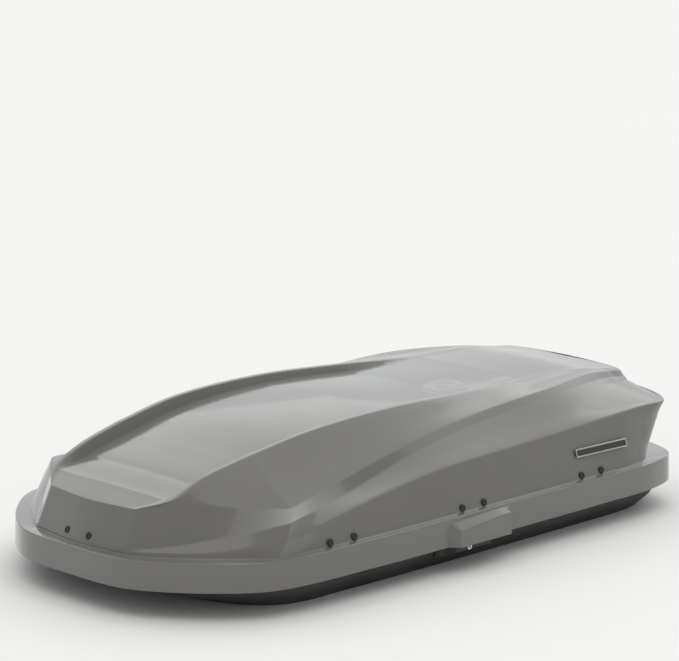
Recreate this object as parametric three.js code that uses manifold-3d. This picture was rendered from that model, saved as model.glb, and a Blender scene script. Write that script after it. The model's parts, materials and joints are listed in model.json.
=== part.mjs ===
// Roof cargo box with a lid that opens on both sides.
// Millimetres. X runs along the box with the nose at -X, Y across it, +Z up.
// The origin is the middle of the rectangle that the closed box covers, on the level of its underside.
import * as THREE from "three";
import { mergeVertices } from "three/addons/utils/BufferGeometryUtils.js";
import Module from "manifold-3d";

const wasm = await Module();
wasm.setup();

// ---------- driving dimensions ----------
const SKIRT_Z = 60; // bottom edge of the lid skirt
const SKIRT_HEIGHT = 63;
const LID_WALL = 4;
const BASE_WALL = 4;
const RIM_TOP_Z = 103; // top of the base rim
const LIP_BOTTOM_Z = 62; // lower edge of the down-turned rim lip
const LIP_INSET = 14.6; // rim lip behind the face of the lid skirt
const TRAY_INSET = 37; // outside of the tray wall behind the face of the lid skirt
const HINGE_Y = 372; // hinge rod axes, left and right
const HINGE_Z = 80;
const ROD_RADIUS = 4;
const ROD_SPAN = [-372, 560];
const SADDLE_X = [-360, 60, 510]; // saddles on the base
const LUG_X = [-330, 90, 540]; // lid lugs
const CLAW_X = [-345, 40, 490]; // latch claws
const STRIP_SPAN = [-375, 575]; // saddle strip and lug strip
const CLAW_SHAFT = [HINGE_Y, 56]; // y and z of the claw shaft
const CLAW_OPEN = THREE.MathUtils.degToRad(50);
const LOCK_X = -1;
const LOCK_FACE_Y = 428.2;
const LOCK_Z = 46;
const BARREL_RADIUS = 6.8;
const BARREL_BORE = 7.2;
const KEYWAY_HALF = 0.8; // half the width of the key slot
const KEYWAY_DEPTH = 7;
const CAM_Y = [384.4, 388];
const LIFTER_X = 500; // lifters stand this far ahead of and behind the middle
const FOOT_PIVOT_Z = 30;
const LID_PIVOT_Z = 220;
const PADDLE_LENGTH = 205;
const LINK_LENGTH = 212;
const BOLT_DISC_RADIUS = 13;
const BOLT_DISC_THICKNESS = 3.2;
const BOLT_HEAD_RADIUS = 8;
const BOLT_RADIUS = 4;
const BOLT_HEAD_X = [-8.5, -5.4];
const BOLT_TIP_X = 10.2;
const SLOT_Y = 240; // floor slots for the roof-bar clamps
const SLOTS = [[-360, -120], [200, 440]];
const PLUG_Z = 135.5;
const SIDE_PLUG_X = [-384, 22, 427]; // middles of the side plug pairs
const PLUG_SPACING = 70;
const GAP = 0.3; // between pieces that touch

// ---------- materials ----------
const material = (color, roughness, metalness) =>
  new THREE.MeshStandardMaterial({ color, roughness, metalness });
const lidAbs = () => material(0x85847f, 0.25, 0.0);
const baseAbs = () => material(0x2e3236, 0.7, 0.0);
const blackNylon = () => material(0x17181a, 0.55, 0.0);
const zincSteel = () => material(0xb9bcbf, 0.38, 0.9);
const chromedBrass = () => material(0xd8dadc, 0.12, 1.0);
const badgeMetal = () => material(0x9a9c9e, 0.3, 0.8);

// ---------- solids ----------
function solidOf(geometry) {
  const bare = geometry.clone();
  bare.deleteAttribute("normal");
  bare.deleteAttribute("uv");
  const merged = mergeVertices(bare, 1e-3);
  const index = merged.index.array;
  const triangles = [];
  for (let i = 0; i < index.length; i += 3) {
    const [a, b, c] = [index[i], index[i + 1], index[i + 2]];
    if (a !== b && b !== c && a !== c) triangles.push(a, b, c);
  }
  return new wasm.Manifold(
    new wasm.Mesh({
      numProp: 3,
      vertProperties: merged.attributes.position.array,
      triVerts: new Uint32Array(triangles),
    }),
  );
}

function geometryOf(solid) {
  const mesh = solid.getMesh();
  return new THREE.BufferGeometry()
    .setAttribute("position", new THREE.BufferAttribute(mesh.vertProperties, 3))
    .setIndex(new THREE.BufferAttribute(mesh.triVerts, 1));
}

function box(x0, x1, y0, y1, z0, z1) {
  const geometry = new THREE.BoxGeometry(x1 - x0, y1 - y0, z1 - z0);
  return solidOf(geometry.translate((x0 + x1) / 2, (y0 + y1) / 2, (z0 + z1) / 2));
}

// An outline in the YZ plane pushed along X.
function acrossX(shape, x0, x1, curveSegments = 10) {
  const geometry = new THREE.ExtrudeGeometry(shape, { depth: x1 - x0, bevelEnabled: false, curveSegments });
  const turn = new THREE.Matrix4().makeBasis(
    new THREE.Vector3(0, 1, 0),
    new THREE.Vector3(0, 0, 1),
    new THREE.Vector3(1, 0, 0),
  );
  return solidOf(geometry.applyMatrix4(turn).translate(x0, 0, 0));
}

// An outline in the XZ plane pushed along Y from y0 to y1.
function acrossY(points, y0, y1) {
  const shape = new THREE.Shape(points.map(([x, z]) => new THREE.Vector2(x, z)));
  const geometry = new THREE.ExtrudeGeometry(shape, { depth: y1 - y0, bevelEnabled: false });
  return solidOf(geometry.rotateX(Math.PI / 2).translate(0, y1, 0));
}

// An outline in the XY plane pushed up from z0 to z1.
function acrossZ(shape, z0, z1, curveSegments = 8) {
  const geometry = new THREE.ExtrudeGeometry(shape, { depth: z1 - z0, bevelEnabled: false, curveSegments });
  return solidOf(geometry.translate(0, 0, z0));
}

const polygon = (points) => new THREE.Shape(points.map(([a, b]) => new THREE.Vector2(a, b)));

function disc(y, z, radius) {
  const shape = new THREE.Shape();
  shape.absarc(y, z, radius, 0, 2 * Math.PI);
  return shape;
}

function rodAlongX(x0, x1, y, z, radius, sides = 16) {
  const geometry = new THREE.CylinderGeometry(radius, radius, x1 - x0, sides).rotateZ(Math.PI / 2);
  return solidOf(geometry.translate((x0 + x1) / 2, y, z));
}

function rodAlongY(y0, y1, x, z, radius, sides = 20) {
  const geometry = new THREE.CylinderGeometry(radius, radius, y1 - y0, sides);
  return solidOf(geometry.translate(x, (y0 + y1) / 2, z));
}

function mirrored(solid) {
  const geometry = geometryOf(solid).applyMatrix4(new THREE.Matrix4().makeScale(1, -1, 1));
  const index = geometry.index.array;
  for (let i = 0; i < index.length; i += 3) {
    [index[i + 1], index[i + 2]] = [index[i + 2], index[i + 1]];
  }
  return solidOf(geometry);
}

const join = (solids) => solids.reduce((whole, piece) => whole.add(piece));

// ---------- feature lines of the right half, nose centre to tail centre ----------
// Every line has the same thirteen stations: nose centre, nose corner, start of the spine, middle of the
// chamfer, side corner, five places along the side, two round the tail corner, and the tail centre.
// Heights are above the bottom edge of the lid skirt.
const BRIM = [
  [-810, 0], [-802, 150], [-778, 228], [-706, 330], [-590, 408], [-300, 430], [-50, 434],
  [200, 435], [450, 435], [650, 427], [746, 388], [796, 262], [810, 0],
];
const FOOT = [
  [-792, 0, 67], [-777, 150, 67], [-760, 214, 67], [-690, 308, 67], [-570, 402, 67], [-300, 413, 67],
  [-50, 417, 67], [200, 418, 67], [450, 417, 67], [590, 412, 67],
  [650, 392, 67], [672, 320, 67], [682, 0, 67],
];
const WAIST = [
  [-789, 0, 72], [-774, 150, 72], [-754, 213, 74], [-683, 305, 79], [-548, 404, 95], [-300, 387, 136],
  [-50, 382, 165], [200, 379, 173], [450, 378, 182], [650, 371, 188],
  [752, 352, 183], [796, 262, 188], [809, 0, 190],
];
const BAND_LOW = [
  [-787, 0, 76], [-772, 150, 77], [-735, 206, 82], [-650, 280, 98], [-528, 394, 135], [-300, 344, 152],
  [-50, 322, 200], [200, 297, 223], [450, 285, 236], [650, 232, 227],
  [744, 208, 217], [800, 196, 210], [813, 0, 214],
];
const BAND_HIGH = [
  [-748, 0, 154], [-740, 138, 157], [-686, 197, 178], [-600, 262, 160], [-477, 342, 148], [-300, 327, 178],
  [-50, 307, 219], [200, 283, 239], [450, 265, 250], [650, 214, 243],
  [742, 194, 231], [799, 184, 224], [812, 0, 226],
];
const SPINE = [
  [-748, 0, 154], [-740, 138, 157], [-686, 197, 178], [-600, 207, 214], [-480, 218, 242], [-300, 229, 270],
  [-50, 225, 279], [200, 210, 268], [450, 180, 254], [650, 172, 247],
  [740, 172, 234], [797, 172, 227], [810, 0, 229],
];
const RIDGE_WIDTH = 14;
const RIDGE_WALL = 10; // run of the sloping wall between the spine and the hood
const HOOD_DROP = [0, 0, 3, 24, 27, 24, 18, 16, 0, 0, 0, 0, 0]; // hood below the spine at each station
const HOOD_CROWN = [0, 0, 1, 4, 7, 10, 12, 10, 4, 3, 2, 2, 0]; // hood centre above its edges
const TRAY_KNEE = [
  [-742, 0, 52], [-735, 150, 46], [-712, 212, 42], [-650, 296, 36], [-548, 372, 32], [-300, 393, 31],
  [-50, 397, 31], [200, 398, 31], [450, 398, 31], [640, 391, 31],
  [722, 357, 31], [762, 250, 31], [773, 0, 31],
];
const FLOOR_EDGE = [
  [-610, 0, 0], [-608, 150, 0], [-596, 208, 0], [-560, 284, 0], [-490, 346, 0], [-300, 362, 0],
  [-50, 366, 0], [200, 367, 0], [450, 367, 0], [625, 361, 0], [693, 334, 0], [730, 236, 0], [742, 0, 0],
];
const STEPS = 2; // columns for each station

// A smooth line through the stations that keeps the corners at the nose sharp.
function lineThrough(stations) {
  const points = stations.map(([x, y, z = 0]) => new THREE.Vector3(x, y, z));
  const corners = [0, 1, 4, points.length - 1];
  const line = [];
  for (let part = 0; part + 1 < corners.length; part += 1) {
    const [from, to] = [corners[part], corners[part + 1]];
    const mirrorEnd = to === points.length - 1;
    const own = points.slice(from, to + 1);
    if (mirrorEnd) own.push(points[to - 1].clone().setY(-points[to - 1].y));
    if (from === 0) own.unshift(points[1].clone().setY(-points[1].y));
    const curve = new THREE.CatmullRomCurve3(own, false, "centripetal");
    const spans = own.length - 1;
    const first = from === 0 ? 1 : 0;
    const last = first + (to - from);
    for (let step = first * STEPS; step < last * STEPS; step += 1) {
      line.push(curve.getPoint(step / STEPS / spans));
    }
  }
  line.push(points[points.length - 1]);
  return line;
}

// The right-hand line followed by its mirror image: one closed ring.
function ringOf(line) {
  const left = line.slice(1, -1).reverse().map((p) => new THREE.Vector3(p.x, -p.y, p.z));
  return [...line, ...left];
}

const brimRing = ringOf(lineThrough(BRIM));

const inwardNormals = brimRing.map((_, i) => {
  const before = brimRing[(i + brimRing.length - 1) % brimRing.length];
  const after = brimRing[(i + 1) % brimRing.length];
  return new THREE.Vector3(-(after.y - before.y), after.x - before.x, 0).normalize().negate();
});

// A ring moved towards the inside of the box and set at a height or lifted.
const inset = (ring, distance, lift = 0) =>
  ring.map((p, i) => {
    const up = new THREE.Vector3(0, 0, lift);
    return p.clone().addScaledVector(inwardNormals[i], distance).add(up);
  });
const atHeight = (ring, z) => ring.map((p) => new THREE.Vector3(p.x, p.y, z));
const interpolated = (values) => {
  const out = [];
  for (let i = 0; i < (values.length - 1) * STEPS; i += 1) {
    const at = Math.floor(i / STEPS);
    out.push(THREE.MathUtils.lerp(values[at], values[at + 1], (i % STEPS) / STEPS));
  }
  out.push(values[values.length - 1]);
  return out;
};

// Triangles between rings stacked from the outside in, and a panel across the last ring.
class Skin {
  constructor() {
    this.triangles = [];
  }
  quad(a, b, c, d) {
    this.triangles.push(a, b, c, a, c, d);
  }
  band(outer, inner) {
    for (let i = 0; i < outer.length; i += 1) {
      const j = (i + 1) % outer.length;
      this.quad(outer[j], outer[i], inner[i], inner[j]);
    }
  }
  panel(ring, crown, facing = 1) {
    const half = ring.length / 2;
    const across = [-1, -0.5, 0, 0.5, 1];
    const rows = [];
    for (let i = 0; i <= half; i += 1) {
      const edge = ring[i];
      rows.push(
        across.map((t) => {
          const bulge = Math.abs(t) === 1 || edge.y < 1 ? 0 : crown[i] * (1 - t * t);
          return new THREE.Vector3(edge.x, edge.y * t, edge.z + bulge);
        }),
      );
    }
    for (let i = 0; i < half; i += 1) {
      for (let k = 0; k + 1 < across.length; k += 1) {
        const [a, b, c, d] = [rows[i][k], rows[i + 1][k], rows[i + 1][k + 1], rows[i][k + 1]];
        if (facing > 0) this.quad(a, b, c, d);
        else this.quad(d, c, b, a);
      }
    }
  }
  solid() {
    const points = this.triangles.flatMap((p) => [p.x, p.y, p.z]);
    const geometry = new THREE.BufferGeometry();
    geometry.setAttribute("position", new THREE.Float32BufferAttribute(points, 3));
    return solidOf(geometry);
  }
}

// ---------- shells ----------
const raised = (ring) => ring.map((p) => p.clone().setZ(p.z + SKIRT_Z));
const lidRing = (stations) => raised(ringOf(lineThrough(stations)));
const narrowed = (ring, widths, drops) => {
  const half = ring.length / 2;
  return ring.map((p, i) => {
    const at = i <= half ? i : ring.length - i;
    return new THREE.Vector3(p.x, p.y - Math.sign(p.y) * widths[at], p.z - drops[at]);
  });
};
const lastStation = BRIM.length - 1;
const stationValues = (from, value) => BRIM.map((_, i) => (i >= from && i < lastStation ? value : 0));

function lidShell() {
  const foot = lidRing(FOOT);
  const waist = lidRing(WAIST);
  const bandLow = lidRing(BAND_LOW);
  const bandHigh = lidRing(BAND_HIGH);
  const spine = lidRing(SPINE);
  const none = interpolated(stationValues(0, 0));
  const ridge = narrowed(spine, interpolated(stationValues(2, RIDGE_WIDTH)), none);
  const hood = narrowed(ridge, interpolated(stationValues(2, RIDGE_WALL)), interpolated(HOOD_DROP));
  const crown = interpolated(HOOD_CROWN);
  const skirtTop = SKIRT_Z + SKIRT_HEIGHT;
  const outside = [
    atHeight(brimRing, SKIRT_Z),
    atHeight(inset(brimRing, 2), skirtTop - 4),
    atHeight(inset(brimRing, 6), skirtTop),
    foot, waist, bandLow, bandHigh, spine, ridge, hood,
  ];
  const inside = [
    inset(hood, LID_WALL, -LID_WALL),
    inset(spine, LID_WALL, -LID_WALL),
    inset(bandHigh, LID_WALL, -LID_WALL),
    inset(bandLow, LID_WALL, -LID_WALL + 1),
    inset(waist, LID_WALL, -1.5),
    inset(foot, LID_WALL, -LID_WALL),
    atHeight(inset(brimRing, LID_WALL + 2), skirtTop - LID_WALL),
    atHeight(inset(brimRing, LID_WALL), SKIRT_Z),
  ];
  const skin = new Skin();
  outside.slice(1).forEach((ring, i) => skin.band(outside[i], ring));
  skin.panel(hood, crown);
  skin.panel(inside[0], crown, -1);
  inside.slice(1).forEach((ring, i) => skin.band(inside[i], ring));
  skin.band(inside[inside.length - 1], outside[0]);
  const bumps = handleBump();
  const pockets = handlePocket();
  return skin.solid().add(bumps).add(mirrored(bumps)).subtract(pockets).subtract(mirrored(pockets));
}

// The bump over the finger grip, in the middle of each long side of the skirt.
const BUMP_X = [-78, 122];
const BUMP_FACE_Y = 457;

function handleBump() {
  const [x0, x1] = BUMP_X;
  const profile = polygon([[431.5, SKIRT_Z], [BUMP_FACE_Y, SKIRT_Z], [BUMP_FACE_Y, 98], [431.5, 114]]);
  const plan = polygon([[x0, 431], [x0 + 22, 459], [x1 - 16, 459], [x1, 431]]);
  return acrossX(profile, x0, x1).intersect(acrossZ(plan, 50, 120));
}

function handlePocket() {
  const [x0, x1] = BUMP_X;
  const face = BUMP_FACE_Y - LID_WALL;
  const profile = polygon([[426, 50], [face, 50], [face, 95], [430, 109], [426, 109]]);
  const plan = polygon([[x0 + 7, 420], [x0 + 26, face + 2], [x1 - 21, face + 2], [x1 - 7, 420]]);
  return acrossX(profile, x0, x1).intersect(acrossZ(plan, 40, 120));
}

function baseShell() {
  const tray = ringOf(lineThrough(TRAY_KNEE));
  const floor = ringOf(lineThrough(FLOOR_EDGE));
  const lipInset = LIP_INSET + 3.5;
  const under = RIM_TOP_Z - BASE_WALL;
  const floorInside = atHeight(inset(floor, 2), BASE_WALL);
  const rings = [
    atHeight(inset(brimRing, LIP_INSET), LIP_BOTTOM_Z),
    atHeight(inset(brimRing, LIP_INSET), RIM_TOP_Z - 3),
    atHeight(inset(brimRing, LIP_INSET + 3), RIM_TOP_Z),
    atHeight(inset(brimRing, TRAY_INSET + BASE_WALL), RIM_TOP_Z),
    inset(tray, BASE_WALL, 2),
    floorInside,
  ];
  const underside = [
    floor, tray,
    atHeight(inset(brimRing, TRAY_INSET), under),
    atHeight(inset(brimRing, lipInset), under),
    atHeight(inset(brimRing, lipInset), LIP_BOTTOM_Z),
    rings[0],
  ];
  const level = interpolated(stationValues(0, 0));
  const skin = new Skin();
  rings.slice(1).forEach((ring, i) => skin.band(rings[i], ring));
  skin.panel(floorInside, level);
  skin.panel(floor, level, -1);
  underside.slice(1).forEach((ring, i) => skin.band(underside[i], ring));
  const slotPair = ([x0, x1]) => [1, -1].map((side) => clampSlot(x0, x1, side * SLOT_Y, -5, 12));
  const slots = join(SLOTS.flatMap(slotPair));
  const bore = rodAlongY(380, 405, LOCK_X, LOCK_Z, BARREL_BORE);
  return skin.solid().subtract(slots).subtract(bore).subtract(mirrored(bore));
}

function clampSlot(x0, x1, y, z0, z1) {
  const shape = new THREE.Shape();
  const radius = 5.5;
  shape.absarc(x0 + radius, y, radius, Math.PI / 2, (3 * Math.PI) / 2);
  shape.absarc(x1 - radius, y, radius, -Math.PI / 2, Math.PI / 2);
  return acrossZ(shape, z0, z1, 3);
}

// Steel plate under the clamp knobs, with the same slots as the floor.
function floorRail() {
  const plate = box(-400, 480, SLOT_Y - 30, SLOT_Y + 30, BASE_WALL + GAP, BASE_WALL + GAP + 3);
  return SLOTS.reduce((rest, [x0, x1]) => rest.subtract(clampSlot(x0, x1, SLOT_Y, 0, 12)), plate);
}

// ---------- side hinge and latch set (right side; the left is its mirror image) ----------
function hingeRod() {
  return rodAlongX(ROD_SPAN[0], ROD_SPAN[1], HINGE_Y, HINGE_Z, ROD_RADIUS);
}

function saddleStrip() {
  const slotHalf = ROD_RADIUS + 0.5;
  const outline = new THREE.Shape();
  outline.moveTo(382, 46);
  outline.lineTo(382, 86);
  outline.lineTo(HINGE_Y + slotHalf, 86);
  outline.absarc(HINGE_Y, HINGE_Z, slotHalf, 0, Math.PI, true);
  outline.lineTo(HINGE_Y - slotHalf, 86);
  outline.lineTo(363, 86);
  outline.lineTo(363, 50);
  outline.lineTo(366, 46);
  const bearing = new THREE.Path();
  bearing.absarc(CLAW_SHAFT[0], CLAW_SHAFT[1], ROD_RADIUS + 0.5, 0, 2 * Math.PI);
  outline.holes.push(bearing);
  const saddles = SADDLE_X.map((x) => acrossX(outline, x - 6, x + 6));
  return join([box(STRIP_SPAN[0], STRIP_SPAN[1], 380.5, 383, 46, 96), ...saddles]);
}

function lugStrip() {
  const arm = polygon([
    [366, 73], [352, 84], [350, 112], [362, 128], [380, 146], [394, 150],
    [394, 136], [386, 133], [370, 120], [360, 108], [361, 93], [378, 86], [378, 74],
  ]);
  const lugs = LUG_X.map((x) =>
    acrossX(arm, x - 5, x + 5).add(rodAlongX(x - 5, x + 5, HINGE_Y, HINGE_Z, 8, 20)),
  );
  const strip = box(STRIP_SPAN[0], STRIP_SPAN[1], 392, 394.5, 128, 150);
  const eye = rodAlongX(ROD_SPAN[0] - 9, ROD_SPAN[1] + 9, HINGE_Y, HINGE_Z, ROD_RADIUS + 0.5, 20);
  return join([strip, ...lugs]).subtract(eye);
}

// Shaft with three claws that swing over the hinge rod; it stands open, turned towards the load space.
function clawShaft() {
  const [y, z] = CLAW_SHAFT;
  const hook = polygon([
    [-3, -8], [5, -6], [6, 5], [-6.5, 12], [-6.5, 27], [-4, 29.8], [5, 29.8],
    [7, 28], [7, 33], [3, 36], [-8, 36], [-13, 30], [-13, 2],
  ]);
  const claws = CLAW_X.map((x) => acrossX(hook, x - 4, x + 4));
  const crank = acrossX(polygon([[-6, -6], [6, -6], [7.5, 8], [6, 14], [0, 13]]), LOCK_X + 20, LOCK_X + 25);
  const shaft = rodAlongX(STRIP_SPAN[0], STRIP_SPAN[1], 0, 0, ROD_RADIUS);
  const turned = geometryOf(join([shaft, crank, ...claws])).rotateX(CLAW_OPEN);
  return solidOf(turned.translate(0, y, z));
}

function latchCover() {
  const wall = box(STRIP_SPAN[0], STRIP_SPAN[1], 332, 335, 32, 98);
  const shelf = box(STRIP_SPAN[0], STRIP_SPAN[1], 335, 376, 32, 35);
  return join([wall.add(shelf), ...[-375, -120, 200, 560].map((x) => box(x, x + 4, 334, 358, 34, 60))]);
}

function lockHousing() {
  const profile = polygon([[398.6, 30], [404, 31], [424, 38], [427, 41], [427, 57], [398.6, 57]]);
  const plan = polygon([[-86, 398], [-76, 408], [-58, 410], [-46, 428], [62, 428], [92, 410], [104, 398]]);
  const body = acrossX(profile, -86, 104).intersect(acrossZ(plan, 20, 60));
  return body.subtract(rodAlongY(390, 432, LOCK_X, LOCK_Z, BARREL_BORE));
}

function lockBarrel() {
  const barrel = rodAlongY(CAM_Y[1] + GAP, LOCK_FACE_Y, LOCK_X, LOCK_Z, BARREL_RADIUS);
  const [x0, x1] = [LOCK_X - KEYWAY_HALF, LOCK_X + KEYWAY_HALF];
  const [y0, y1] = [LOCK_FACE_Y - KEYWAY_DEPTH, LOCK_FACE_Y + 10];
  return barrel.subtract(box(x0, x1, y0, y1, LOCK_Z - 4, LOCK_Z + 4));
}

function lockCam() {
  const arm = polygon([[-8, -8], [8, -8], [20, -5], [22, 0], [20, 5], [8, 8], [-8, 8]]);
  const geometry = geometryOf(acrossZ(arm, ...CAM_Y)).rotateX(-Math.PI / 2);
  return solidOf(geometry.translate(LOCK_X, 0, LOCK_Z));
}

// ---------- lid lifters ----------
// Closed, the lower paddle leans towards +Y and the upper link comes back to the middle of the lid.
const rise = LID_PIVOT_Z - FOOT_PIVOT_Z;
const leanCosine = (PADDLE_LENGTH ** 2 + rise ** 2 - LINK_LENGTH ** 2) / (2 * PADDLE_LENGTH * rise);
const PADDLE_LEAN = Math.acos(leanCosine);
const ELBOW = [PADDLE_LENGTH * Math.sin(PADDLE_LEAN), FOOT_PIVOT_Z + PADDLE_LENGTH * Math.cos(PADDLE_LEAN)];

// Outline drawn along +Z from a pivot, then leant over and pushed along X.
function leaning(points, lean, pivot, x0, x1, holes) {
  const shape = polygon(points);
  for (const height of holes) {
    const hole = new THREE.Path();
    hole.absarc(0, height, 4.6, 0, 2 * Math.PI);
    shape.holes.push(hole);
  }
  const geometry = geometryOf(acrossX(shape, x0, x1, 8)).rotateX(-lean);
  return solidOf(geometry.translate(0, pivot[0], pivot[1]));
}

function lifterPaddle() {
  const outline = [
    [-9, -7], [0, -11], [9, -7], [11, 0], [14, 140], [27, 176], [27, 205], [14, 228],
    [-16, 230], [-25, 214], [-24, 180], [-14, 140], [-11, 0],
  ];
  return leaning(outline, PADDLE_LEAN, [0, FOOT_PIVOT_Z], -5, 3, [0, PADDLE_LENGTH]);
}

function lifterLink() {
  const lean = Math.atan2(-ELBOW[0], LID_PIVOT_Z - ELBOW[1]);
  const end = LINK_LENGTH;
  const outline = [
    [-9, -5], [-5, -10], [5, -10], [9, -5], [9, end + 5], [5, end + 10], [-5, end + 10], [-9, end + 5],
  ];
  return leaning(outline, lean, ELBOW, 3.6, 6.6, [0, end]);
}

// Shouldered bolt with a wide friction disc at its far end, which holds the lifter where it is left.
function lifterBolt(y, z) {
  const head = rodAlongX(...BOLT_HEAD_X, y, z, BOLT_HEAD_RADIUS, 6);
  const shank = rodAlongX(BOLT_HEAD_X[1] - 0.6, BOLT_TIP_X, y, z, BOLT_RADIUS);
  const disc = rodAlongX(BOLT_TIP_X - BOLT_DISC_THICKNESS, BOLT_TIP_X, y, z, BOLT_DISC_RADIUS);
  return head.add(shank).add(disc);
}

const footBolt = () => lifterBolt(0, FOOT_PIVOT_Z);
const elbowBolt = () => lifterBolt(ELBOW[0], ELBOW[1]);
const lidPivotPin = () => rodAlongX(0.2, 3.3, 0, LID_PIVOT_Z, 8, 6).add(rodAlongX(3, 6.9, 0, LID_PIVOT_Z, 4));

function lifterFoot() {
  const upright = polygon([[-15, 4.6], [15, 4.6], [12, 34], [6, 41], [-6, 41], [-12, 34]]);
  const plate = box(-20, 26, -32, 32, BASE_WALL + GAP, BASE_WALL + GAP + 3);
  const hole = rodAlongX(0, 12, 0, FOOT_PIVOT_Z, 4.6);
  return plate.add(acrossX(upright, 3.6, 6.6)).subtract(hole);
}

function lidBracket(topZ, slope) {
  const plate = polygon([[-12, 210], [12, 210], [20, 240], [20, topZ], [-20, topZ], [-20, 240]]);
  const flange = acrossY([[7.2, topZ - 3], [7.2, topZ], [46, topZ + slope], [46, topZ + slope - 3]], -20, 20);
  return acrossX(plate, 7.2, 10.2).add(flange).subtract(rodAlongX(5, 12, 0, LID_PIVOT_Z, 4.6));
}

// ---------- end catches ----------
function catchStriker(x0, x1) {
  const outline = polygon([
    [-38, 78], [38, 78], [38, 101], [14, 101], [14, 88], [-14, 88], [-14, 101], [-38, 101],
  ]);
  return acrossX(outline, x0, x1);
}

const rearTongue = () => box(764.5, 767.5, -10, 10, 91, 119);
const frontTongue = () => box(-750.5, -747.5, -10, 10, 91, 150).add(box(-772.5, -748, -10, 10, 147, 150));

// ---------- small trim ----------
// A point on the outside of the lid and the way its face looks, found along a ray.
function lidFaceAt(lidMesh, from, towards) {
  const direction = towards.clone().sub(from).normalize();
  const hit = new THREE.Raycaster(from, direction).intersectObject(lidMesh)[0];
  return { point: hit.point, normal: hit.face.normal };
}

function facing(geometry, { point, normal }, lift) {
  const turn = new THREE.Quaternion().setFromUnitVectors(new THREE.Vector3(0, 1, 0), normal);
  const place = point.clone().addScaledVector(normal, lift);
  return geometry.applyQuaternion(turn).translate(place.x, place.y, place.z);
}

const plugGeometry = () => new THREE.CylinderGeometry(7, 8.5, 3, 18);

// ---------- the assembly ----------
const cargoBox = new THREE.Group();

function add(name, geometry, finish) {
  const mesh = new THREE.Mesh(geometry, finish);
  mesh.name = name;
  cargoBox.add(mesh);
  return mesh;
}

const lid = add("lid_shell", geometryOf(lidShell()), lidAbs());
add("base_shell", geometryOf(baseShell()), baseAbs());

const sides = { right: (solid) => solid, left: mirrored };
for (const [side, placed] of Object.entries(sides)) {
  add(`floor_rail_${side}`, geometryOf(placed(floorRail())), zincSteel());
  add(`hinge_rod_${side}`, geometryOf(placed(hingeRod())), zincSteel());
  add(`saddle_strip_${side}`, geometryOf(placed(saddleStrip())), zincSteel());
  add(`lug_strip_${side}`, geometryOf(placed(lugStrip())), zincSteel());
  add(`claw_shaft_${side}`, geometryOf(placed(clawShaft())), zincSteel());
  add(`latch_cover_${side}`, geometryOf(placed(latchCover())), blackNylon());
  add(`lock_housing_${side}`, geometryOf(placed(lockHousing())), blackNylon());
  add(`lock_barrel_${side}`, geometryOf(placed(lockBarrel())), chromedBrass());
  add(`lock_cam_${side}`, geometryOf(placed(lockCam())), zincSteel());
}

// The rear lifter is the front one turned half round about the vertical.
const lifters = {
  front: { x: -LIFTER_X, turn: 0, bracket: lidBracket(267, 6) },
  rear: { x: LIFTER_X, turn: Math.PI, bracket: lidBracket(304, 0) },
};
for (const [end, { x, turn, bracket }] of Object.entries(lifters)) {
  const pieces = {
    foot: [lifterFoot(), zincSteel()],
    foot_bolt: [footBolt(), zincSteel()],
    paddle: [lifterPaddle(), blackNylon()],
    elbow_bolt: [elbowBolt(), zincSteel()],
    link: [lifterLink(), zincSteel()],
    lid_pin: [lidPivotPin(), zincSteel()],
    lid_bracket: [bracket, zincSteel()],
  };
  for (const [piece, [solid, finish]] of Object.entries(pieces)) {
    add(`lifter_${end}_${piece}`, geometryOf(solid).rotateZ(turn).translate(x, 0, 0), finish);
  }
}

add("catch_striker_front", geometryOf(catchStriker(-751, -747)), zincSteel());
add("catch_striker_rear", geometryOf(catchStriker(764, 768)), zincSteel());
add("catch_tongue_front", geometryOf(frontTongue()), zincSteel());
add("catch_tongue_rear", geometryOf(rearTongue()), zincSteel());

const axisAt = (x, z) => new THREE.Vector3(x, 0, z);
for (const half of [-1, 1]) {
  const y = (half * PLUG_SPACING) / 2;
  const side = half > 0 ? "right" : "left";
  const noseFace = lidFaceAt(lid, new THREE.Vector3(-900, y, 146), new THREE.Vector3(0, y, 146));
  add(`plug_nose_${side}`, facing(plugGeometry(), noseFace, 1.9), blackNylon());
  const tailFace = lidFaceAt(lid, new THREE.Vector3(900, y, 152), new THREE.Vector3(0, y, 152));
  add(`plug_tail_${side}`, facing(plugGeometry(), tailFace, 1.9), blackNylon());
  SIDE_PLUG_X.forEach((middle, pair) => {
    [-1, 1].forEach((way) => {
      const x = middle + (way * PLUG_SPACING) / 2;
      const face = lidFaceAt(lid, new THREE.Vector3(x, half * 600, PLUG_Z), axisAt(x, PLUG_Z));
      const place = ["front", "middle", "rear"][pair];
      const order = way < 0 ? "a" : "b";
      add(`plug_${side}_${place}_${order}`, facing(plugGeometry(), face, 2.7), blackNylon());
    });
  });
  const badgeFace = lidFaceAt(lid, new THREE.Vector3(478, half * 600, 182), axisAt(478, 182));
  add(`badge_${side}`, facing(new THREE.BoxGeometry(180, 2, 20), badgeFace, 3.2), badgeMetal());
}

export default cargoBox;
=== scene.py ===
import json
import math

import bmesh
import bpy
import numpy as np
from mathutils import Matrix, Vector


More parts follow.
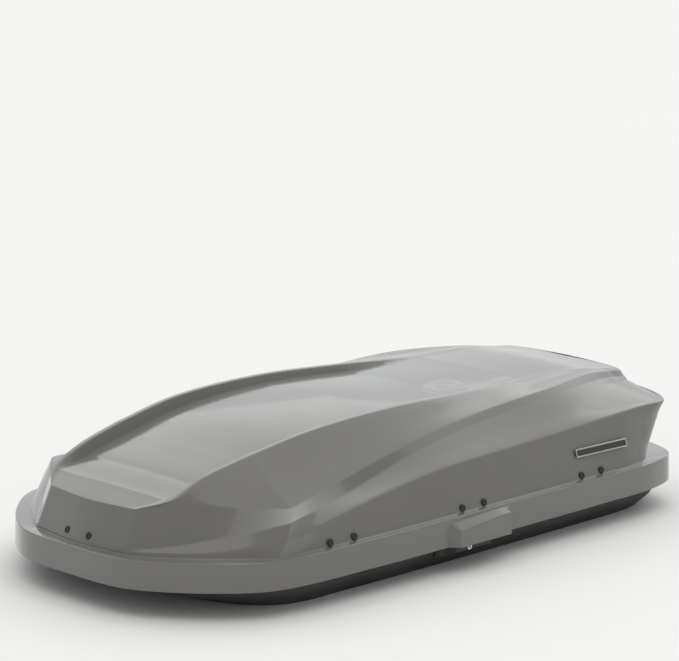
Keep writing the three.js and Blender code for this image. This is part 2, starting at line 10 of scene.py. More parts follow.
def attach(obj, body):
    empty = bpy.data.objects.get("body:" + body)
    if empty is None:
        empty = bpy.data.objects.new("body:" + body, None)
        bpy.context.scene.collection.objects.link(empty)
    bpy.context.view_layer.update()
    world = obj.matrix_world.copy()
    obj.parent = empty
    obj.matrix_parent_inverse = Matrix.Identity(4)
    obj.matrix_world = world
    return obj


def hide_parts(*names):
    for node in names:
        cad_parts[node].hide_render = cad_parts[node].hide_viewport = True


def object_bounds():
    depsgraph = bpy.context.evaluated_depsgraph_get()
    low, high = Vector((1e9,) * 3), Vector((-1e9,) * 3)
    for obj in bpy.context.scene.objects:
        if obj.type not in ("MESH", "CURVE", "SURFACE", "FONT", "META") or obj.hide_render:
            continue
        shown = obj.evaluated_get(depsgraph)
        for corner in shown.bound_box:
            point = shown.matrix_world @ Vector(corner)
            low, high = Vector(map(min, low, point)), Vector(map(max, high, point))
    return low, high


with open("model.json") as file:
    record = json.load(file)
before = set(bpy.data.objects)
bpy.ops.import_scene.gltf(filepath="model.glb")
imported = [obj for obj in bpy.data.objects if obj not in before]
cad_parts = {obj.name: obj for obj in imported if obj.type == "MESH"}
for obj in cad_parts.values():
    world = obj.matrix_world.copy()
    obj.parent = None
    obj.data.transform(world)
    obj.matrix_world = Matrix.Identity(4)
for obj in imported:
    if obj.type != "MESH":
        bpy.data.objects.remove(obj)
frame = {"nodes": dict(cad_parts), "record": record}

CAD_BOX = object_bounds()
MM = 0.001

# ---------------------------------------------------------------- driving dimensions (mm)
SKIRT_Z = 60.0  # bottom edge of the lid
SKIRT_TOP = 123.0
GRIP_DEPTH = 22  # how far the finger grips stand out of the skirt
GRIP_HOLLOW = 18  # how far the skirt's inside follows them
GRIP_START, GRIP_RISE = -78, 20  # along the side: where a grip starts, and the length of its ramp
GRIP_END, GRIP_FALL = 122, 16
GRIP_TOP_START, GRIP_TOP_RUN = -58, 138  # where the grip's top edge climbs, and for how long
LID_WALL = 4
RIDGE_WIDTH = 14.0  # flat top of the spines
RIDGE_WALL = 10.0  # foot of the spine inside its top edge
RECESS_DEPTH = 2.6
RECESS_SLOPE = 9  # width of the sloping edge of the recess
RECESS_OVER_Z = 300  # the recess is in the top panel, which lies above this height
RIM_TOP = 103
RIM_UNDERSIDE = 99
LIP_BOTTOM = 62
LIP_OUTSIDE = 14.6  # behind the face of the skirt, like the next three
LIP_INSIDE = 18
TRAY_OUTSIDE = 37
TRAY_INSIDE = 41
SLOT_RUNS = ((-360, -120), (200, 440))  # slots for the roof-bar clamps, along the floor
SLOT_Y = 240
SLOT_HALF_WIDTH = 5.5
LOCK_X, LOCK_Z = -1, 46
LOCK_BORE = 7.2
RIM_WALL_Y = 392  # the rim wall that the lock's bore goes through
BORE_HALF_LENGTH = 14
BARREL_RADIUS = 6.8
BADGE_FRAME = 2.4
BADGE_SINK = 0.4
CREASE = 32  # degrees: edges sharper than this are rounded off

# ---------------------------------------------------------------- feature lines (mm)
# Right half from the nose centre to the tail centre; heights are above the lid's bottom edge.
BRIM = [
    (-810, 0), (-801, 150), (-769, 222), (-692, 320), (-582, 402), (-300, 430), (-50, 434),
    (200, 435), (450, 435), (650, 427), (746, 388), (796, 262), (810, 0),
]
FOOT = [
    (-789, 0, 64), (-771, 154, 64), (-738, 208, 64), (-667, 298, 65), (-562, 397, 66),
    (-300, 413, 66), (-50, 417, 66), (200, 418, 66), (450, 417, 66), (590, 412, 66),
    (650, 392, 66), (672, 320, 66), (682, 0, 66),
]
WAIST = [
    (-789, 0, 72), (-772, 148, 72), (-736, 205, 74), (-661, 293, 79), (-546, 399, 95),
    (-300, 387, 136), (-50, 382, 165), (200, 379, 173), (450, 378, 182), (650, 371, 188),
    (764, 354, 184), (806, 262, 188), (817, 0, 190),
]
BAND_LOW = [
    (-787, 0, 76), (-770, 147, 77), (-722, 202, 82), (-640, 274, 98), (-526, 392, 135),
    (-300, 344, 152), (-50, 322, 200), (200, 297, 223), (450, 285, 236), (650, 232, 227),
    (744, 208, 217), (800, 196, 210), (813, 0, 214),
]
BAND_HIGH = [
    (-748, 0, 154), (-740, 138, 157), (-686, 197, 178), (-600, 262, 160), (-477, 342, 148),
    (-300, 327, 178), (-50, 307, 219), (200, 283, 239), (450, 265, 250), (650, 214, 243),
    (742, 194, 231), (799, 184, 224), (812, 0, 226),
]
SPINE = [
    (-748, 0, 154), (-740, 138, 157), (-686, 197, 178), (-600, 207, 214), (-480, 218, 242),
    (-300, 229, 270), (-50, 225, 279), (200, 210, 268), (450, 180, 254), (650, 172, 247),
    (740, 172, 234), (797, 172, 227), (810, 0, 229),
]
DIAMOND = [(184, -148), (283, -150), (304, -92), (262, -62), (190, -94)]
HOOD_DROP = [0, 0, 3, 24, 27, 24, 18, 16, 0, 0, 0, 0, 0]
HOOD_CROWN = [0, 0, 1, 4, 7, 10, 12, 10, 4, 3, 2, 2, 0]
TRAY_KNEE = [
    (-742, 0, 52), (-735, 150, 46), (-712, 212, 42), (-650, 296, 36), (-548, 372, 32),
    (-300, 393, 31), (-50, 397, 31), (200, 398, 31), (450, 398, 31), (640, 391, 31),
    (722, 357, 31), (762, 250, 31), (773, 0, 31),
]
FLOOR_EDGE = [
    (-610, 0, 0), (-608, 150, 0), (-596, 208, 0), (-560, 284, 0), (-490, 346, 0), (-300, 362, 0),
    (-50, 366, 0), (200, 367, 0), (450, 367, 0), (625, 361, 0), (693, 334, 0), (730, 236, 0),
    (742, 0, 0),
]
LAST = len(BRIM) - 1
CORNERS = (1, 4)
CORNER_ROUND = {1: 0.07, 2: 0.08, 4: 0.035}
COLUMNS_PER_STATION = 16

# Columns, counted in stations, closer together at the corners and where the grips start and stop.
COLUMNS = np.unique(
    np.round(
        np.concatenate(
            [
                np.linspace(0, LAST, LAST * COLUMNS_PER_STATION + 1),
                np.linspace(0.92, 1.08, 17),
                np.linspace(1.92, 2.08, 9),
                np.linspace(3.96, 4.04, 13),
                np.linspace(5.86, 6.0, 27),
                np.linspace(6.58, 6.72, 27),
            ]
        ),
        5,
    )
)


def knot(a, b):
    return np.sqrt(np.linalg.norm(b - a, axis=1))[:, None] + 1e-9


def spline(points, u):
    """Points on a centripetal Catmull-Rom line through points, at u from 0 to len - 1."""
    p = np.array(points, float)
    before = 2 * p[0] - p[1]
    after = 2 * p[-1] - p[-2]
    p = np.vstack([before, p, after])
    i = np.clip(u.astype(int), 0, len(points) - 2)
    t = (u - i)[:, None]
    p0, p1, p2, p3 = p[i], p[i + 1], p[i + 2], p[i + 3]
    d0, d1, d2 = knot(p0, p1), knot(p1, p2), knot(p2, p3)
    m1 = ((p1 - p0) / d0 - (p2 - p0) / (d0 + d1) + (p2 - p1) / d1) * d1
    m2 = ((p2 - p1) / d1 - (p3 - p1) / (d1 + d2) + (p3 - p2) / d2) * d1
    t2, t3 = t * t, t * t * t
    from_ends = (2 * t3 - 3 * t2 + 1) * p1 + (t3 - 2 * t2 + t) * m1
    return from_ends + (3 * t2 - 2 * t3) * p2 + (t3 - t2) * m2


def line_at(stations, u, corners=CORNERS):
    """The line at columns u, with a sharp corner at each of the corner stations."""
    p = [np.array(s if len(s) == 3 else (*s, 0.0), float) for s in stations]
    flip = np.array([1, -1, 1])
    out = np.zeros((len(u), 3))
    cuts = [0, *corners, LAST]
    for a, b in zip(cuts, cuts[1:]):
        own = p[a : b + 1]
        lead = 0
        if a == 0:
            own = [p[1] * flip] + own
            lead = 1
        if b == LAST:
            own = own + [p[-2] * flip]
        inside = (u >= a) & (u <= b)
        out[inside] = spline(own, u[inside] - a + lead)
    return out


def rounded_line(stations, corners=CORNERS):
    """The line at all columns, with its corners rounded off by their own reach."""
    line = line_at(stations, COLUMNS, corners)
    for corner in corners:
        reach = CORNER_ROUND[corner]
        ends = line_at(stations, np.array([corner - reach, float(corner), corner + reach]), corners)
        near = np.abs(COLUMNS - corner) < reach
        t = ((COLUMNS[near] - corner + reach) / (2 * reach))[:, None]
        line[near] = (1 - t) ** 2 * ends[0] + 2 * t * (1 - t) * ends[1] + t * t * ends[2]
    line[0, 1] = 0
    line[-1, 1] = 0
    return line


brim = rounded_line(BRIM, corners=())
step = np.gradient(brim, axis=0)
step[0] = (0, 1, 0)
step[-1] = (0, -1, 0)
INWARD = np.stack([step[:, 1], -step[:, 0], np.zeros(len(step))], axis=1)
INWARD /= np.linalg.norm(INWARD, axis=1)[:, None]
UP = np.array([0, 0, 1.0])


def by_station(values):
    """The value at each column, from one value for each station."""
    return np.interp(COLUMNS, range(len(values)), values)


def moved(line, inward=0.0, lift=0.0):
    """The line moved level towards the middle of the box, and up."""
    inward = np.broadcast_to(inward, len(line))[:, None]
    lift = np.broadcast_to(lift, len(line))[:, None]
    return line + INWARD * inward + UP * lift


def at_height(line, z):
    out = line.copy()
    out[:, 2] = z
    return out


def narrowed(line, width, drop):
    """The line moved straight across towards the centre plane, never past it, and down."""
    out = line.copy()
    out[:, 1] -= np.minimum(width, out[:, 1])
    out[:, 2] -= drop
    return out


def section(lines, cuts, swells, arc=5, leg=4):
    """Rings through the lines in order: each inner line is rounded off by its cut, each stretch
    between two lines swells outwards by its share of its own length."""
    lines = np.array(lines)
    count = len(lines)
    rings = []
    starts, ends = [], []
    for k in range(count):
        if k in (0, count - 1):
            starts.append(lines[k])
            ends.append(lines[k])
            continue
        back, on = lines[k - 1] - lines[k], lines[k + 1] - lines[k]
        lb = np.linalg.norm(back, axis=1)[:, None] + 1e-9
        lo = np.linalg.norm(on, axis=1)[:, None] + 1e-9
        cut = np.minimum(cuts[k], 0.42 * np.minimum(lb, lo))
        starts.append(lines[k] + back / lb * cut)
        ends.append(lines[k] + on / lo * cut)
    for k in range(count):
        if k:
            a, b = ends[k - 1], starts[k]
            along = np.gradient(lines[k] + lines[k - 1], axis=0)
            out = np.cross(along, b - a)
            out /= np.linalg.norm(out, axis=1)[:, None] + 1e-9
            swell = np.broadcast_to(swells[k - 1], len(a))[:, None]
            size = np.linalg.norm(b - a, axis=1)[:, None] * swell
            n = leg if np.any(swell) else 1
            for i in range(1, n):
                t = i / n
                rings.append(a + (b - a) * t + out * size * 4 * t * (1 - t))
        if k in (0, count - 1):
            rings.append(lines[k])
            continue
        for i in range(arc):
            t = i / (arc - 1)
            rings.append((1 - t) ** 2 * starts[k] + 2 * t * (1 - t) * lines[k] + t * t * ends[k])
    return rings


def closed_on_centre(rings):
    """The first and last columns lie exactly on the centre plane."""
    for ring in rings:
        ring[0, 1] = 0
        ring[-1, 1] = 0
    return rings


def full_ring(half):
    left = half[-2:0:-1] * np.array([1, -1, 1])
    return np.vstack([half, left])


def shell_object(name, rings, first_crown, last_crown, across=36, shape=None):
    """A closed skin: rings joined in order, with a panel across the first and the last of them."""
    count = len(rings[0])
    size = 2 * (count - 1)
    verts = np.vstack([full_ring(r) for r in rings])
    faces = []
    for k in range(len(rings) - 1):
        low, high = k * size, (k + 1) * size
        for i in range(size):
            j = (i + 1) % size
            faces.append((low + j, low + i, high + i, high + j))
    extra = []
    base = len(verts)
    share = np.linspace(-1, 1, across + 1)
    panels = (
        (rings[0], 0, first_crown, False),
        (rings[-1], (len(rings) - 1) * size, last_crown, True),
    )
    for ring, offset, crown, up in panels:
        rows = []
        for c in range(count):
            edge = ring[c]
            row = []
            for s in share:
                if s == 1 or c in (0, count - 1):
                    row.append(offset + c)
                elif s == -1:
                    row.append(offset + (size - c) % size)
                else:
                    z = edge[2] + crown[c] * (1 - s * s)
                    p = [edge[0], edge[1] * s, z]
                    if shape:
                        p = shape(p)
                    row.append(base + len(extra))
                    extra.append(p)
            rows.append(row)
        for c in range(count - 1):
            for i in range(across):
                q = (rows[c][i], rows[c + 1][i], rows[c + 1][i + 1], rows[c][i + 1])
                q = q if up else q[::-1]
                q = tuple(dict.fromkeys(q))
                if len(q) > 2:
                    faces.append(q)
    verts = np.vstack([verts, np.array(extra)]) if extra else verts
    mesh = bpy.data.meshes.new(name)
    mesh.from_pydata((verts * MM).tolist(), [], faces)
    bm = bmesh.new()
    bm.from_mesh(mesh)
    bmesh.ops.remove_doubles(bm, verts=bm.verts, dist=2e-5)
    bmesh.ops.recalc_face_normals(bm, faces=bm.faces)
    bm.to_mesh(mesh)
    bm.free()
    obj = bpy.data.objects.new(name, mesh)
    bpy.context.scene.collection.objects.link(obj)
    return obj


def smooth(obj, angle=35):
    for face in obj.data.polygons:
        face.use_smooth = True
    obj.data.set_sharp_from_angle(angle=math.radians(angle))


# ---------------------------------------------------------------- materials
def material(name, colour, roughness, metallic=0.0):
    mat = bpy.data.materials.new(name)
    mat.use_nodes = True
    nodes, links = mat.node_tree.nodes, mat.node_tree.links
    shader = nodes["Principled BSDF"]
    shader.inputs["Base Color"].default_value = (*colour, 1)
    shader.inputs["Roughness"].default_value = roughness
    shader.inputs["Metallic"].default_value = metallic
    place = nodes.new("ShaderNodeTexCoord")
    return mat, nodes, links, shader, place


def noise(nodes, links, place, scale, detail=4.0, stretch=None):
    tex = nodes.new("ShaderNodeTexNoise")
    tex.inputs["Scale"].default_value = scale
    tex.inputs["Detail"].default_value = detail
    source = place.outputs["Object"]
    if stretch:
        mapping = nodes.new("ShaderNodeMapping")
        mapping.inputs["Scale"].default_value = stretch
        links.new(source, mapping.inputs["Vector"])
        source = mapping.outputs["Vector"]
    links.new(source, tex.inputs["Vector"])
    return tex.outputs["Fac"]


def spread(nodes, links, value, low, high, start=0.3, end=0.7):
    node = nodes.new("ShaderNodeMapRange")
    node.inputs["From Min"].default_value = start
    node.inputs["From Max"].default_value = end
    node.inputs["To Min"].default_value = low
    node.inputs["To Max"].default_value = high
    links.new(value, node.inputs["Value"])
    return node.outputs["Result"]


def tinted(nodes, links, value, dark, light, start=0.3, end=0.7):
    ramp = nodes.new("ShaderNodeValToRGB")
    ramp.color_ramp.elements[0].position = start
    ramp.color_ramp.elements[0].color = (*dark, 1)
    ramp.color_ramp.elements[1].position = end
    ramp.color_ramp.elements[1].color = (*light, 1)
    links.new(value, ramp.inputs["Fac"])
    return ramp.outputs["Color"]


def bumpy(nodes, links, shader, value, strength, distance):
    bump = nodes.new("ShaderNodeBump")
    bump.inputs["Strength"].default_value = strength
    bump.inputs["Distance"].default_value = distance
    links.new(value, bump.inputs["Height"])
    links.new(bump.outputs["Normal"], shader.inputs["Normal"])


def lid_plastic():
    mat, nodes, links, shader, place = material("gloss_grey_abs", (0.2, 0.195, 0.185), 0.25)
    shader.inputs["IOR"].default_value = 1.5
    shader.inputs["Coat Weight"].default_value = 0.3
    shader.inputs["Coat Roughness"].default_value = 0.04
    cloud = noise(nodes, links, place, 3.0, 3.0)
    links.new(
        tinted(nodes, links, cloud, (0.163, 0.161, 0.155), (0.172, 0.170, 0.164)),
        shader.inputs["Base Color"],
    )
    haze = noise(nodes, links, place, 14.0, 6.0)
    links.new(spread(nodes, links, haze, 0.15, 0.21), shader.inputs["Roughness"])
    return mat


def base_plastic():
    mat, nodes, links, shader, place = material("grained_black_abs", (0.02, 0.022, 0.026), 0.5)
    grain = noise(nodes, links, place, 900.0, 3.0)
    links.new(
        tinted(nodes, links, grain, (0.018, 0.02, 0.024), (0.032, 0.035, 0.042)),
        shader.inputs["Base Color"],
    )
    wear = noise(nodes, links, place, 9.0, 5.0)
    links.new(spread(nodes, links, wear, 0.42, 0.6), shader.inputs["Roughness"])
    bumpy(nodes, links, shader, grain, 0.35, 0.0004)
    return mat


def nylon():
    mat, nodes, links, shader, place = material("satin_black_nylon", (0.012, 0.012, 0.013), 0.4)
    speck = noise(nodes, links, place, 420.0, 3.0)
    links.new(
        tinted(nodes, links, speck, (0.009, 0.009, 0.010), (0.017, 0.017, 0.018)),
        shader.inputs["Base Color"],
    )
    wear = noise(nodes, links, place, 30.0, 4.0)
    links.new(spread(nodes, links, wear, 0.33, 0.5), shader.inputs["Roughness"])
    bumpy(nodes, links, shader, speck, 0.18, 0.0003)
    return mat


def zinc():
    mat, nodes, links, shader, place = material("zinc_plated_steel", (0.55, 0.55, 0.53), 0.35, 1.0)
    drawn = noise(nodes, links, place, 60.0, 6.0, stretch=(0.6, 9.0, 9.0))
    links.new(
        tinted(nodes, links, drawn, (0.47, 0.46, 0.43), (0.64, 0.64, 0.62)),
        shader.inputs["Base Color"],
    )
    links.new(spread(nodes, links, drawn, 0.26, 0.46), shader.inputs["Roughness"])
    bumpy(nodes, links, shader, drawn, 0.08, 0.0003)
    return mat


def chrome():
    mat, nodes, links, shader, place = material("polished_chrome", (0.76, 0.76, 0.75), 0.12, 1.0)
    rub = noise(nodes, links, place, 240.0, 5.0)
    links.new(spread(nodes, links, rub, 0.06, 0.2), shader.inputs["Roughness"])
    links.new(
        tinted(nodes, links, rub, (0.70, 0.70, 0.69), (0.80, 0.80, 0.79)),
        shader.inputs["Base Color"],
    )
    return mat


def badge_metal():
    mat, nodes, links, shader, place = material("blank_satin_badge", (0.5, 0.5, 0.5), 0.3, 1.0)
    brush = noise(nodes, links, place, 90.0, 5.0, stretch=(0.4, 12.0, 12.0))
    links.new(
        tinted(nodes, links, brush, (0.44, 0.44, 0.45), (0.60, 0.60, 0.61)),
        shader.inputs["Base Color"],
    )
    links.new(spread(nodes, links, brush, 0.22, 0.38), shader.inputs["Roughness"])
    return mat


def badge_field():
    mat, nodes, links, shader, place = material("blank_dark_field", (0.03, 0.03, 0.03), 0.3, 0.0)
    haze = noise(nodes, links, place, 9.0, 2.0)
    links.new(
        tinted(nodes, links, haze, (0.022, 0.022, 0.024), (0.045, 0.045, 0.047)),
        shader.inputs["Base Color"],
    )
    links.new(spread(nodes, links, haze, 0.44, 0.52), shader.inputs["Roughness"])
    return mat


LOOKS = {
    "lid_abs": lid_plastic(),
    "base_abs": base_plastic(),
    "black_nylon": nylon(),
    "zinc_steel": zinc(),
    "lock_chrome": chrome(),
    "badge_metal": badge_metal(),
}
BADGE_FIELD = badge_field()
SLOT_OF = {s["node"]: s["material_slot"] for s in frame["record"]["subparts"]}
BODY_OF = {
    node: body for body, nodes in frame["record"]["behaviour"]["bodies"].items() for node in nodes
}


def stand_for(obj, node):
    """The piece takes its node's place: its body, and the finish of its node's material slot."""
    obj.data.materials.clear()
    obj.data.materials.append(LOOKS[SLOT_OF[node]])
    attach(obj, BODY_OF[node])
    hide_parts(node)


# ---------------------------------------------------------------- lid
def grip_share(x):
    """How far out the finger grip stands at x along the side, from 0 to 1."""
    up = np.clip((x - GRIP_START) / GRIP_RISE, 0, 1)
    down = np.clip((GRIP_END - x) / GRIP_FALL, 0, 1)
    return np.minimum(up, down)


def recess(p):
    """A shallow flat-bottomed diamond pressed into the top panel."""
    depth = 1.0
    for (ax, ay), (bx, by) in zip(DIAMOND, DIAMOND[1:] + DIAMOND[:1]):
        off_line = (bx - ax) * (p[1] - ay) - (by - ay) * (p[0] - ax)
        side = off_line / math.hypot(bx - ax, by - ay)
        depth = min(depth, side / RECESS_SLOPE)
    if depth > 0 and p[2] > RECESS_OVER_Z:
        p[2] -= RECESS_DEPTH * depth
    return p


def build_lid():
    foot, waist, band_low, spine = (
        moved(rounded_line(s), lift=SKIRT_Z) for s in (FOOT, WAIST, BAND_LOW, SPINE)
    )
    band_high = moved(rounded_line(BAND_HIGH, (1, 2, 4)), lift=SKIRT_Z)
    width = by_station([0, 0] + [1] * 10 + [0])
    ridge = narrowed(spine, width * RIDGE_WIDTH, 0)
    hood = narrowed(ridge, width * RIDGE_WALL, by_station(HOOD_DROP))
    crown = by_station(HOOD_CROWN)
    grip = GRIP_DEPTH * grip_share(brim[:, 0])
    hollow = GRIP_HOLLOW * grip_share(brim[:, 0])
    climb = np.clip((brim[:, 0] - GRIP_TOP_START) / GRIP_TOP_RUN, 0, 1)
    outside = [
        at_height(moved(brim, -grip), SKIRT_Z),
        at_height(moved(brim, 0.8 - grip), 98 + 12 * climb),
        at_height(moved(brim, 1.4), 114 + 5 * climb),
        at_height(moved(brim, 1.8), SKIRT_TOP),
        foot, waist, band_low, band_high, spine, ridge, hood,
    ]
    inside = [
        moved(hood, lift=-4.3),
        moved(spine, 1, -4.5),
        moved(band_high, 2, -LID_WALL),
        moved(band_low, 3, -LID_WALL),
        moved(waist, 4.5, -1.5),
        moved(foot, LID_WALL, -LID_WALL),
        at_height(moved(brim, 6), SKIRT_TOP - LID_WALL),
        at_height(moved(brim, 5.4), 108),
        at_height(moved(brim, 5 - hollow), 95),
        at_height(moved(brim, LID_WALL - hollow), SKIRT_Z),
    ]
    cuts = [0, 2, 4, 4, 6, 2, 3, 2, 2, 1.2, 1.2, 2.5, 2, 3.5, 3.5, 5, 3.5, 3, 4, 3.5, 0]
    shoulder = by_station([0, 0, 0, 0, 0.01, 0.02, 0.02, 0.02, 0.03, 0.07, 0.13, 0.16, 0.16])
    wall = by_station([0, 0, 0, 0, 0.01, 0.02, 0.02, 0.02, 0.02, 0.03, 0.05, 0.06, 0.06])
    flank = by_station([0, 0, 0, 0, 0, 0.02, 0.03, 0.03, 0.03, 0.03, 0.02, 0, 0])
    swells = [0] * (len(inside) + 4) + [wall, shoulder, 0, flank, 0, 0]
    rings = closed_on_centre(section(inside + outside, cuts, swells))
    lid = shell_object("lid_skin", rings, crown, crown, shape=recess)
    smooth(lid, 38)
    stand_for(lid, "lid_shell")


def build_base():
    knee, floor = (rounded_line(s, corners=()) for s in (TRAY_KNEE, FLOOR_EDGE))
    lines = [
        floor,
        knee,
        at_height(moved(brim, TRAY_OUTSIDE), RIM_UNDERSIDE),
        at_height(moved(brim, LIP_INSIDE), RIM_UNDERSIDE),
        at_height(moved(brim, LIP_INSIDE), LIP_BOTTOM),
        at_height(moved(brim, LIP_OUTSIDE), LIP_BOTTOM),
        at_height(moved(brim, LIP_OUTSIDE), RIM_TOP),
        at_height(moved(brim, TRAY_INSIDE), RIM_TOP),
        moved(knee, 4, 2),
        at_height(moved(floor, 2), 4),
    ]
    cuts = [0, 12, 4, 3, 1, 1, 3.5, 4, 12, 0]
    rings = closed_on_centre(section(lines, cuts, [0.01] + [0] * 8))
    level = by_station([0] * (LAST + 1))
    base = shell_object("base_skin", rings, level, level)
    cutters = []
    for x0, x1 in SLOT_RUNS:
        for y in (-SLOT_Y, SLOT_Y):
            cutters.append(prism(slot_outline(x0, x1, y, SLOT_HALF_WIDTH), -5, 12))
    for side in (-1, 1):
        cutters.append(rod(LOCK_X, side * RIM_WALL_Y, LOCK_Z, LOCK_BORE, 24))
    for cutter in cutters:
        cut = base.modifiers.new("cut", "BOOLEAN")
        cut.object = cutter
        cut.operation = "DIFFERENCE"
        cut.solver = "EXACT"
    bake(base)
    for cutter in cutters:
        bpy.data.objects.remove(cutter)
    smooth(base, 30)
    stand_for(base, "base_shell")


def slot_outline(x0, x1, y, radius, steps=12):
    """A long hole with half-round ends."""
    points = []
    for middle, start in ((x0 + radius, math.pi / 2), (x1 - radius, -math.pi / 2)):
        for i in range(steps + 1):
            a = start + math.pi * i / steps
            points.append((middle + radius * math.cos(a), y + radius * math.sin(a)))
    return points


def from_faces(name, verts, faces):
    mesh = bpy.data.meshes.new(name)
    mesh.from_pydata([tuple(c * MM for c in v) for v in verts], [], faces)
    bm = bmesh.new()
    bm.from_mesh(mesh)
    bmesh.ops.recalc_face_normals(bm, faces=bm.faces)
    bm.to_mesh(mesh)
    bm.free()
    obj = bpy.data.objects.new(name, mesh)
    bpy.context.scene.collection.objects.link(obj)
    return obj


def prism(outline, z0, z1):
    n = len(outline)
    verts = [(x, y, z0) for x, y in outline] + [(x, y, z1) for x, y in outline]
    faces = [tuple(range(n)), tuple(range(n, 2 * n))]
    faces += [(i, (i + 1) % n, n + (i + 1) % n, n + i) for i in range(n)]
    return from_faces("cutter", verts, faces)


def rod(x, y, z, radius, sides):
    """A round rod across the box, with its middle at x, y, z."""
    angles = [2 * math.pi * i / sides for i in range(sides)]
    ring = [(radius * math.cos(a), radius * math.sin(a)) for a in angles]
    verts = [(x + a, y + end, z + b) for end in (-BORE_HALF_LENGTH, BORE_HALF_LENGTH) for a, b in ring]
    faces = [tuple(range(sides)), tuple(range(sides, 2 * sides))]
    faces += [(i, (i + 1) % sides, sides + (i + 1) % sides, sides + i) for i in range(sides)]
    return from_faces("cutter", verts, faces)


def bake(obj):
    """The object's modifiers become its mesh."""
    graph = bpy.context.evaluated_depsgraph_get()
    done = bpy.data.meshes.new_from_object(obj.evaluated_get(graph))
    obj.modifiers.clear()
    old = obj.data
    obj.data = done
    bpy.data.meshes.remove(old)


# ---------------------------------------------------------------- hardware
def softened(node, bevel, segments=2):
    """A copy of the node's solid with its hard edges rounded."""
    source = frame["nodes"][node]
    mesh = source.data.copy()
    bm = bmesh.new()
    bm.from_mesh(mesh)
    bmesh.ops.remove_doubles(bm, verts=bm.verts, dist=1e-6)
    bmesh.ops.dissolve_limit(bm, angle_limit=math.radians(1), verts=bm.verts, edges=bm.edges)
    bm.to_mesh(mesh)
    bm.free()
    obj = bpy.data.objects.new(node + "_piece", mesh)
    obj.matrix_world = source.matrix_world.copy()
    bpy.context.scene.collection.objects.link(obj)
    edge = obj.modifiers.new("edge", "BEVEL")
    edge.width = bevel * MM
    edge.segments = segments
    edge.limit_method = "ANGLE"
    edge.angle_limit = math.radians(CREASE)
    edge.use_clamp_overlap = True
    bake(obj)
    smooth(obj, CREASE)
    stand_for(obj, node)
    return obj


def lathe(name, profile, sides=32):
    """A closed turned solid from (radius, height) points that start and end on the axis."""
    verts, faces, rings = [], [], []
    for radius, height in profile:
        if radius == 0:
            rings.append([len(verts)] * sides)
            verts.append((0, 0, height))
            continue
        rings.append(list(range(len(verts), len(verts) + sides)))
        for i in range(sides):
            a = 2 * math.pi * i / sides
            verts.append((radius * math.cos(a), radius * math.sin(a), height))
    for low, high in zip(rings, rings[1:]):
        for i in range(sides):
            j = (i + 1) % sides
            face = tuple(dict.fromkeys((low[i], low[j], high[j], high[i])))
            if len(face) > 2:
                faces.append(face)
    return from_faces(name, verts, faces)


def build_plug(node):
    """A blanking plug: a low domed cap with a dished middle, pressed into the lid's wall."""
    points = np.array([tuple(v.co) for v in frame["nodes"][node].data.vertices])
    centre = (points.min(axis=0) + points.max(axis=0)) / 2
    _, _, axes = np.linalg.svd(np.unique(points.round(6), axis=0) - points.mean(axis=0))
    normal = Vector(axes[2])
    if normal.dot(Vector((centre[0], centre[1], 0))) < 0:
        normal.negate()
    profile = [
        (0, -3.2), (7.2, -3.2), (8.4, -1.2), (8.5, -0.4), (8.2, 0.5), (7.2, 1.2), (5.6, 1.5),
        (5.0, 1.35), (4.6, 0.7), (4.2, 0.45), (0, 0.4),
    ]
    plug = lathe(node + "_piece", profile)
    smooth(plug, 50)
    turn = normal.to_track_quat("Z", "Y").to_matrix().to_4x4()
    plug.data.transform(Matrix.Translation(centre) @ turn)
    stand_for(plug, node)


def build_barrel(node):
    """The lock's barrel: a bright rim round a deep keyway cup, turned to face outwards."""
    points = np.array([tuple(v.co) for v in frame["nodes"][node].data.vertices]) / MM
    side = 1 if points[:, 1].mean() > 0 else -1
    inner, outer = np.abs(points[:, 1]).min(), np.abs(points[:, 1]).max()
    centre = (points.min(axis=0) + points.max(axis=0)) / 2
    profile = [
        (0, inner), (BARREL_RADIUS, inner), (BARREL_RADIUS, outer - 0.7), (6.2, outer), (4.0, outer),
        (3.4, outer - 0.5), (3.0, outer - 6.0), (0, outer - 6.0),
    ]
    barrel = lathe(node + "_piece", profile)
    smooth(barrel, 40)
    turn = Matrix.Rotation(-side * math.pi / 2, 4, "X")
    barrel.data.transform(Matrix.Translation((centre[0] * MM, 0, centre[2] * MM)) @ turn)
    stand_for(barrel, node)


def build_badge(node):
    """The blank plate: a satin frame round a dark field sunk a little into it."""
    plate = softened(node, 0.8, 3)
    bm = bmesh.new()
    bm.from_mesh(plate.data)
    broad = sorted(bm.faces, key=lambda face: -face.calc_area())[:2]
    front = max(broad, key=lambda face: abs(face.calc_center_median().y))
    bmesh.ops.inset_region(
        bm, faces=[front], thickness=BADGE_FRAME * MM, depth=-BADGE_SINK * MM, use_even_offset=True
    )
    front.material_index = 1
    bm.to_mesh(plate.data)
    bm.free()
    plate.data.materials.append(BADGE_FIELD)


def build_hardware():
    for node in frame["nodes"]:
        if node in ("lid_shell", "base_shell"):
            continue
        if node.startswith("plug_"):
            build_plug(node)
        elif node.startswith("lock_barrel_"):
            build_barrel(node)
        elif node.startswith("badge_"):
            build_badge(node)
        elif "paddle" in node or "latch_cover" in node:
            softened(node, 1.2, 3)
        elif "lock_housing" in node:
            softened(node, 2.5, 4)
        else:
            softened(node, 0.5, 2)


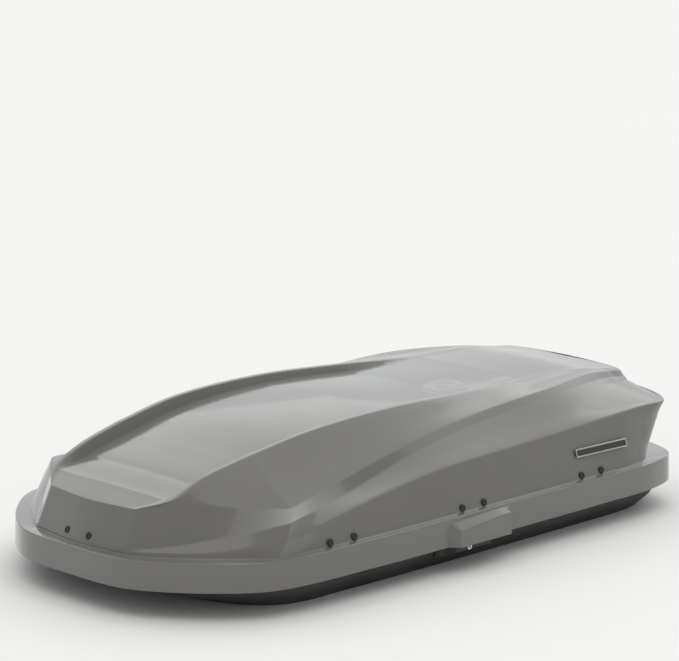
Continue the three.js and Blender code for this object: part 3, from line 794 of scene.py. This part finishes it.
# ---------------------------------------------------------------- studio (metres)
FLOOR_HALF = 60
FLOOR_BELOW = 0.0005  # the floor lies just under the box
BACK_OF_ROOM = (0.62, 0.74, -0.35)
SOFTBOX = (0.70, 0.31, 0.643)
SUN_ENERGY = 1.15
SUN_ANGLE = 100  # degrees
SUN_DIRECTION = Vector((-0.35, -0.25, -1.0))
CAMERA_PLACE = (-4.934, -4.956, 1.998)
CAMERA_FORWARD = Vector((0.6901, 0.6916, -0.2131))
CAMERA_ROLL = 0.2477  # degrees
LENS = 164.93  # mm, on a sensor 36 mm wide
SENSOR = 36.0


def build_floor():
    mesh = bpy.data.meshes.new("floor")
    bm = bmesh.new()
    bmesh.ops.create_grid(bm, x_segments=8, y_segments=8, size=FLOOR_HALF)
    bm.to_mesh(mesh)
    bm.free()
    floor = bpy.data.objects.new("floor", mesh)
    floor.location.z = CAD_BOX[0][2] - FLOOR_BELOW
    bpy.context.scene.collection.objects.link(floor)
    mat, nodes, links, shader, place = material("pale_floor", (0.9, 0.9, 0.9), 0.9)
    shader.inputs["Specular IOR Level"].default_value = 0.0
    patch = noise(nodes, links, place, 0.4, 2.0)
    links.new(
        tinted(nodes, links, patch, (0.94, 0.94, 0.945), (0.955, 0.955, 0.96)),
        shader.inputs["Base Color"],
    )
    mesh.materials.append(mat)


def along_direction(nodes, links, place, direction):
    """How far a ray of the sky points along the direction, from -1 to 1."""
    node = nodes.new("ShaderNodeVectorMath")
    node.operation = "DOT_PRODUCT"
    node.inputs[1].default_value = direction
    links.new(place.outputs["Generated"], node.inputs[0])
    return node.outputs["Value"]


def build_light():
    """A pale room, brighter behind the object than in front, with a softbox and a broad soft sun."""
    world = bpy.data.worlds.new("studio")
    world.use_nodes = True
    nodes, links = world.node_tree.nodes, world.node_tree.links
    place = nodes.new("ShaderNodeTexCoord")
    to_back = along_direction(nodes, links, place, BACK_OF_ROOM)
    level = spread(nodes, links, to_back, 0.0, 1.0, -0.9, 0.9)
    sky = nodes["Background"]
    room = tinted(nodes, links, level, (0.55, 0.545, 0.53), (0.97, 0.99, 1.0), 0.40, 0.98)
    links.new(room, sky.inputs["Color"])
    to_softbox = along_direction(nodes, links, place, SOFTBOX)
    links.new(spread(nodes, links, to_softbox, 1.0, 1.6, 0.980, 0.994), sky.inputs["Strength"])
    bpy.context.scene.world = world
    sun = bpy.data.lights.new("broad_sun", "SUN")
    sun.energy = SUN_ENERGY
    sun.angle = math.radians(SUN_ANGLE)
    sun.color = (1.0, 0.99, 0.97)
    obj = bpy.data.objects.new("broad_sun", sun)
    obj.rotation_euler = SUN_DIRECTION.to_track_quat("-Z", "Y").to_euler()
    bpy.context.scene.collection.objects.link(obj)


def build_camera():
    """The camera of the photograph: its place, where it looks and a small roll."""
    data = bpy.data.cameras.new("camera")
    data.lens = LENS
    data.sensor_width = SENSOR
    data.sensor_fit = "HORIZONTAL"
    data.clip_end = 200
    forward = CAMERA_FORWARD.normalized()
    right = forward.cross(Vector((0, 0, 1))).normalized()
    up = right.cross(forward)
    roll = math.radians(CAMERA_ROLL)
    across = math.cos(roll) * right + math.sin(roll) * up
    above = -math.sin(roll) * right + math.cos(roll) * up
    camera = bpy.data.objects.new("camera", data)
    turn = Matrix((across, above, -forward)).transposed().to_4x4()
    camera.matrix_world = Matrix.Translation(CAMERA_PLACE) @ turn
    bpy.context.scene.collection.objects.link(camera)
    bpy.context.scene.camera = camera


build_camera()
build_light()
build_floor()
build_lid()
build_base()
build_hardware()
bpy.context.scene.view_settings.view_transform = "Standard"
bpy.context.view_layer.update()
